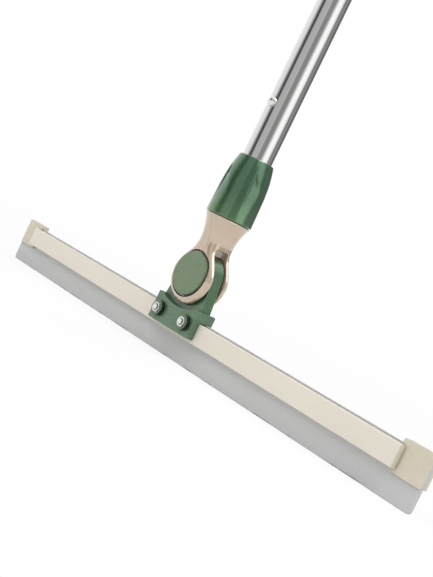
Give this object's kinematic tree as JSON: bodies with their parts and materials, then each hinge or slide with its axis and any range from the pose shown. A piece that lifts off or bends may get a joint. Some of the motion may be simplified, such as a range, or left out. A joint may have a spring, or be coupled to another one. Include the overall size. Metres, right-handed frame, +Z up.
{
  "type": "squeegee mop",
  "caption": "Long-handled floor squeegee: a wide clamped blade on a head that swivels in a fork, with a locking collar and snap button on the tube.",
  "frame": {"origin": "on the floor under the middle of the head, at the height of the wiping edge, on the axis of the tube", "axes": "+Z up along the tube, +X along the head, -Y is the front with the bracket's plate and nuts"},
  "size_m": [0.55, 0.0392, 1.2412],
  "materials": {
    "steel_tube": "drawn and lightly brushed, bright",
    "beige_plastic": "glossy moulding",
    "green_gloss": "glossy moulding",
    "green_bracket": "satin to glossy moulding",
    "sage_cap": "satin",
    "bar_coat": "cream powder coat, satin",
    "taupe_plastic": "satin moulding",
    "silicone": "matt silicone sheet",
    "bright_steel": "zinc plated, bright",
    "spring_steel": "plain",
    "bush_brass": "turned",
    "friction_fibre": "matt",
    "grip_rubber": "matt, fine texture",
    "white_nylon": "plain moulding"
  },
  "bodies": {
    "handle": {"handle_tube": "steel_tube", "hand_grip": "grip_rubber", "grip_end": "beige_plastic", "button_spring": "spring_steel", "collet": "white_nylon", "fork": "beige_plastic", "hinge_cap_front": "sage_cap", "hinge_cap_rear": "sage_cap", "hinge_bolt": "bright_steel", "hinge_nut": "bright_steel", "hinge_washers": "bright_steel", "spring_washer": "spring_steel", "friction_discs": "friction_fibre"},
    "head": {"swivel_bracket": "green_bracket", "hinge_bush": "bush_brass", "front_bar": "bar_coat", "rear_clamp_bar": "bar_coat", "wiper_blade": "silicone", "end_cap_left": "taupe_plastic", "end_cap_right": "taupe_plastic", "end_cap_screws": "bright_steel", "clamp_bolts": "bright_steel", "clamp_nuts": "bright_steel", "clamp_washers": "bright_steel"},
    "collar": {"locking_collar": "green_gloss"},
    "button": {"snap_button": "bright_steel"}
  },
  "joints": [
    {"name": "head_swivel", "type": "hinge", "parent": "handle", "child": "head", "pos_m": [0, 0, 0.07], "axis": [0, 1, 0], "range_deg": [-90, 90]},
    {"name": "collar_turn", "type": "hinge", "parent": "handle", "child": "collar", "pos_m": [0, 0, 0.122], "axis": [0, 0, 1], "range_deg": [0, 90]},
    {"name": "button_press", "type": "slide", "parent": "handle", "child": "button", "axis": [0, 1, 0], "range_m": [0, 0.0037], "stiffness_N_per_m": 300, "springref_m": -0.002, "deforming": ["button_spring"]}
  ]
}
